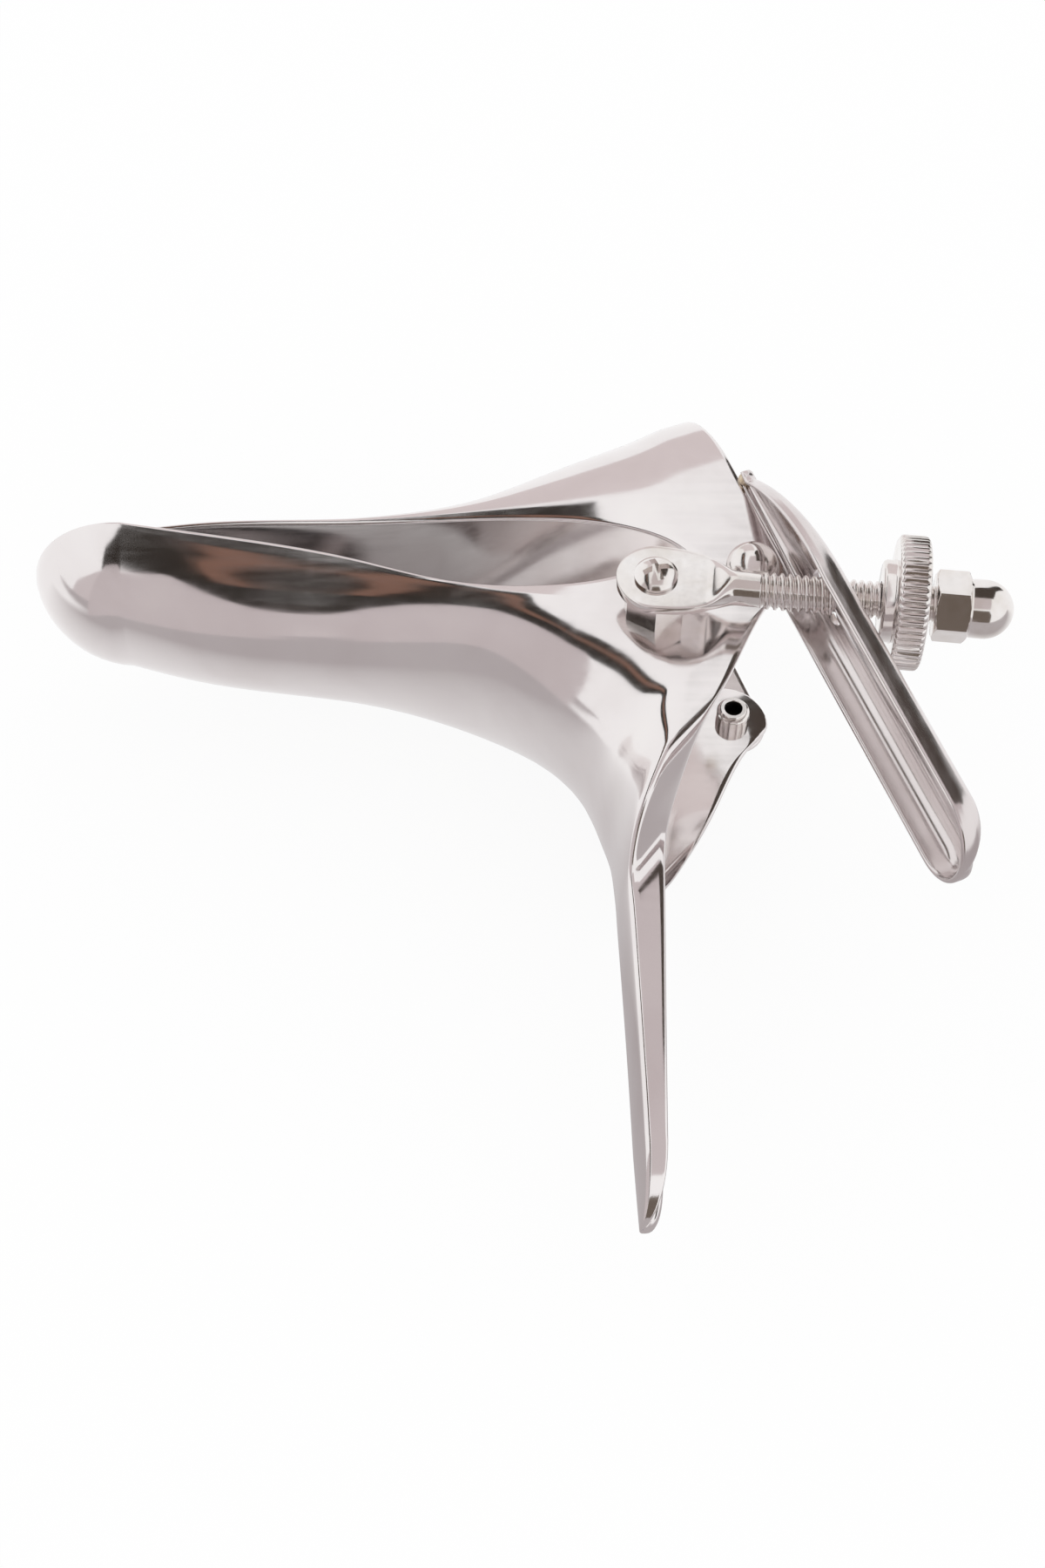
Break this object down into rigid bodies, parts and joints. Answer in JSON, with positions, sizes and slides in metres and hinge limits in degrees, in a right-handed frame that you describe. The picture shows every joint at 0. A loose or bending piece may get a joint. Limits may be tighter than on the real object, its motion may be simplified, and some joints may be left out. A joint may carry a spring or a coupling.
{
  "type": "bivalve speculum",
  "caption": "Bivalve speculum with two pressed metal blades on a side hinge, a thumb lever, and an eye bolt with a knurled nut that holds it open.",
  "frame": {"origin": "under the middle of the instrument's bounding box, at the lowest point of the far hinge rivet", "axes": "+Z along the hinge axis towards the side with the screw, +X from the blade tips towards the lever, +Y from the handle towards the hood of the upper valve"},
  "size_m": [0.1613, 0.1479, 0.0636],
  "materials": {
    "polished_steel": "polished",
    "plated_brass": "polished",
    "braze": "satin"
  },
  "bodies": {
    "lower": {"lower_valve": "polished_steel", "hinge_rivet_near": "polished_steel", "hinge_rivet_far": "polished_steel", "hinge_washer_near": "polished_steel", "hinge_washer_far": "polished_steel", "pivot_boss": "polished_steel", "pivot_screw": "plated_brass"},
    "upper": {"upper_valve": "polished_steel", "thumb_lever": "polished_steel", "braze_bead": "braze"},
    "rod": {"eye_rod": "plated_brass", "stop_nut": "plated_brass"},
    "nut": {"thumb_nut": "plated_brass"}
  },
  "joints": [
    {"name": "upper_hinge", "type": "hinge", "parent": "lower", "child": "upper", "pos_m": [0.0409, 0.03, 0.0252], "axis": [0, 0, -1], "range_deg": [0, 35]},
    {"name": "rod_swivel", "type": "hinge", "parent": "lower", "child": "rod", "pos_m": [0.02475, 0.023, 0.05325], "axis": [0, 0, -1], "range_deg": [0, 20]},
    {"name": "nut_travel", "type": "slide", "parent": "rod", "child": "nut", "axis": [-0.9942, 0.108, 0], "range_m": [0, 0.0065]}
  ],
  "couplings": [
    {"joint": "rod_swivel", "follows": "upper_hinge", "ratio": 0.55},
    {"joint": "nut_travel", "follows": "upper_hinge", "m_per_rad": 0.01015}
  ]
}
